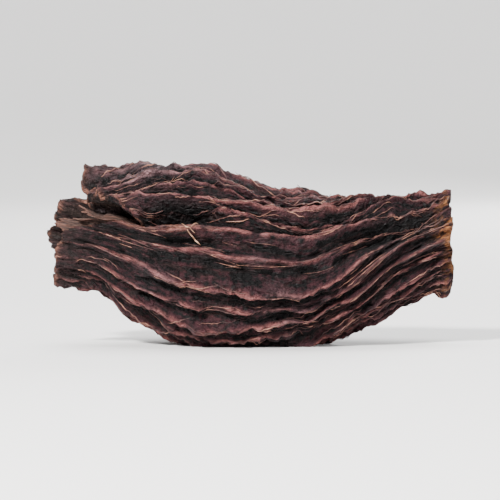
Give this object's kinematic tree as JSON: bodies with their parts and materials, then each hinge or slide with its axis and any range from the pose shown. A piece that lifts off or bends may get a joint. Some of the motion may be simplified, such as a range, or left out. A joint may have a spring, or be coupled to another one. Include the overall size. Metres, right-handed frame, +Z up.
{
  "type": "black cardamom pod",
  "caption": "Whole dried black cardamom pod, ribbed and shrivelled, split open near its torn papery end, lying on its side.",
  "frame": {"origin": "on the surface that the pod rests on, under the middle of its bounding box", "axes": "+X along the pod, from its torn mouth to its stalk scar; +Z up; -Y is the side with the long split, which the picture shows"},
  "size_m": [0.0338, 0.0158, 0.0152],
  "materials": {
    "husk": "dry, fibrous plant husk, reddish brown and nearly matt"
  },
  "bodies": {
    "root": {"cardamom_pod": "husk"}
  },
  "joints": []
}
